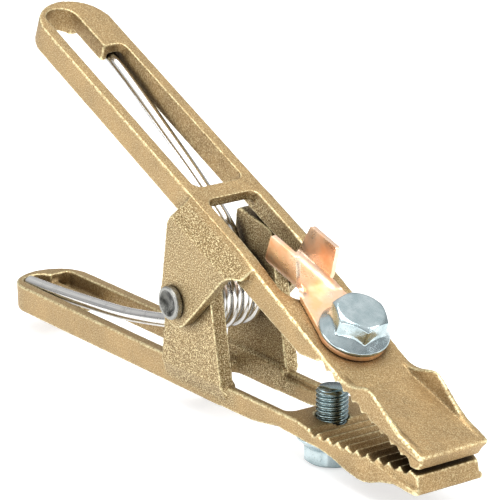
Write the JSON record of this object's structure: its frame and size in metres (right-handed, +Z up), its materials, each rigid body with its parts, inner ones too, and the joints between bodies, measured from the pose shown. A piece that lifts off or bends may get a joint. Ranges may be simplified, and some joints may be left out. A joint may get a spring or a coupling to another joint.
{
  "type": "ground clamp",
  "caption": "Spring ground clamp: two cast brass levers with toothed jaws on a riveted pin, a torsion spring between the handles, and a copper cable lug under a flange bolt.",
  "frame": {"origin": "middle of the lower lever's cross web, on the flat outer face that the clamp rests on", "axes": "+X along the lower lever towards the jaw tip, +Y along the pivot pin, +Z up, square to the lower lever's flat outer face"},
  "size_m": [0.2389, 0.0437, 0.1187],
  "materials": {
    "cast_brass": "satin, shot-blasted casting",
    "copper_sheet": "bright rolled copper sheet",
    "zinc_steel": "bright bluish zinc plate",
    "spring_wire": "drawn and plated wire",
    "pin_steel": "plain grey steel"
  },
  "bodies": {
    "lower_jaw": {"lower_lever": "cast_brass", "pivot_pin": "pin_steel", "torsion_spring": "spring_wire"},
    "upper_jaw": {"upper_lever": "cast_brass"},
    "lug": {"cable_lug": "copper_sheet"},
    "upper_bolt": {"cable_bolt": "zinc_steel"},
    "under_bolt": {"lower_bolt": "zinc_steel"}
  },
  "joints": [
    {"name": "jaw_pivot", "type": "hinge", "parent": "lower_jaw", "child": "upper_jaw", "pos_m": [0.01225, 0, 0.0324], "axis": [0, -1, 0], "range_deg": [0, 25], "stiffness_Nm_per_rad": 13, "springref_deg": -74.48, "deforming": ["torsion_spring"]},
    {"name": "lug_swivel", "type": "hinge", "parent": "upper_jaw", "child": "lug", "pos_m": [0.07972, 0.0012, 0.03428], "axis": [0.4638, 0, 0.886], "range_deg": [-0.4, 3.6]},
    {"name": "cable_bolt_turn", "type": "hinge", "parent": "upper_jaw", "child": "upper_bolt", "pos_m": [0.07972, 0.0012, 0.03428], "axis": [0.4638, 0, 0.886], "continuous": true},
    {"name": "lower_bolt_turn", "type": "hinge", "parent": "lower_jaw", "child": "under_bolt", "pos_m": [0.07155, -0.001, 0.0018], "axis": [-0.0436, 0, -0.999], "continuous": true}
  ]
}
